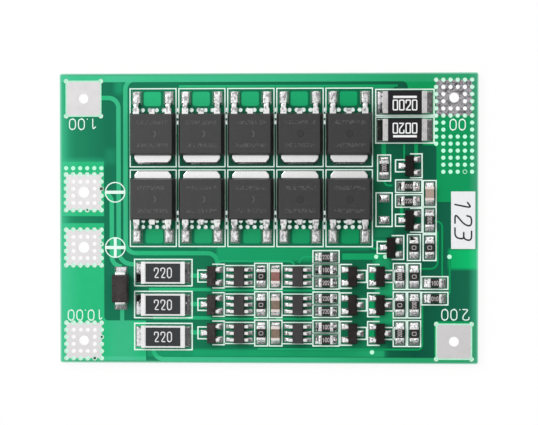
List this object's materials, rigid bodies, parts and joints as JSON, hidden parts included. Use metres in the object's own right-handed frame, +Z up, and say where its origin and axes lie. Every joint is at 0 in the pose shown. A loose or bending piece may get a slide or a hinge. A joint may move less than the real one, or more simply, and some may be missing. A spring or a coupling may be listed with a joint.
{
  "type": "battery management board",
  "caption": "Green circuit board with two rows of power transistors, wide shunt and bleeder resistors, small surface-mounted parts and square plated wire terminals.",
  "frame": {"origin": "centre of the board's outline, on the plane of the undersides of the terminal lands that the board rests on", "axes": "+X along the length, from the power terminals towards the label; +Y across the width, towards the shunts; +Z up, from the underside to the parts"},
  "size_m": [0.06, 0.0416, 0.0036],
  "materials": {
    "solder_mask_laminate": "green solder mask on glass-epoxy laminate, satin gloss",
    "solder_mask_over_copper": "green solder mask over copper, lighter",
    "solder": "bright tin-alloy solder",
    "tinned_copper": "hot-air levelled tin on copper, slightly uneven",
    "moulded_epoxy": "dark grey moulding compound, matt",
    "tinned_lead": "tin-plated lead, satin",
    "shunt_coating": "black coating over the resistive strip",
    "tinned_end": "tin-plated end cap, satin",
    "white_ceramic": "white alumina",
    "resistive_film": "black glazed film",
    "tan_ceramic": "tan ceramic block",
    "white_paper": "white sticker"
  },
  "bodies": {
    "root": {"wiring_board": "solder_mask_laminate", "covered_copper": "solder_mask_over_copper", "solder_lands": "solder", "negative_terminal": "tinned_copper", "positive_terminal": "tinned_copper", "tap_terminal_0": "tinned_copper", "tap_terminal_1": "tinned_copper", "tap_terminal_2": "tinned_copper", "tap_terminal_3": "tinned_copper", "transistor_body_u1": "moulded_epoxy", "transistor_body_u2": "moulded_epoxy", "transistor_body_u3": "moulded_epoxy", "transistor_body_u4": "moulded_epoxy", "transistor_body_u5": "moulded_epoxy", "transistor_body_l1": "moulded_epoxy", "transistor_body_l2": "moulded_epoxy", "transistor_body_l3": "moulded_epoxy", "transistor_body_l4": "moulded_epoxy", "transistor_body_l5": "moulded_epoxy", "transistor_frame_u1": "tinned_lead", "transistor_frame_u2": "tinned_lead", "transistor_frame_u3": "tinned_lead", "transistor_frame_u4": "tinned_lead", "transistor_frame_u5": "tinned_lead", "transistor_frame_l1": "tinned_lead", "transistor_frame_l2": "tinned_lead", "transistor_frame_l3": "tinned_lead", "transistor_frame_l4": "tinned_lead", "transistor_frame_l5": "tinned_lead", "shunt_body_a": "shunt_coating", "shunt_body_b": "shunt_coating", "shunt_ends_a": "tinned_end", "shunt_ends_b": "tinned_end", "bleeder_body_1": "white_ceramic", "bleeder_body_2": "white_ceramic", "bleeder_body_3": "white_ceramic", "bleeder_ends_1": "tinned_end", "bleeder_ends_2": "tinned_end", "bleeder_ends_3": "tinned_end", "bleeder_films": "resistive_film", "diode_body": "moulded_epoxy", "diode_leads": "tinned_lead", "lane_1_transistor_bodies": "moulded_epoxy", "lane_2_transistor_bodies": "moulded_epoxy", "lane_3_transistor_bodies": "moulded_epoxy", "lane_1_transistor_leads": "tinned_lead", "lane_2_transistor_leads": "tinned_lead", "lane_3_transistor_leads": "tinned_lead", "monitor_bodies": "moulded_epoxy", "monitor_leads": "tinned_lead", "cluster_transistor_bodies": "moulded_epoxy", "cluster_transistor_leads": "tinned_lead", "chip_resistor_bodies": "white_ceramic", "chip_resistor_ends": "tinned_end", "chip_capacitor_bodies": "tan_ceramic", "chip_capacitor_ends": "tinned_end", "sticker": "white_paper"}
  },
  "joints": []
}
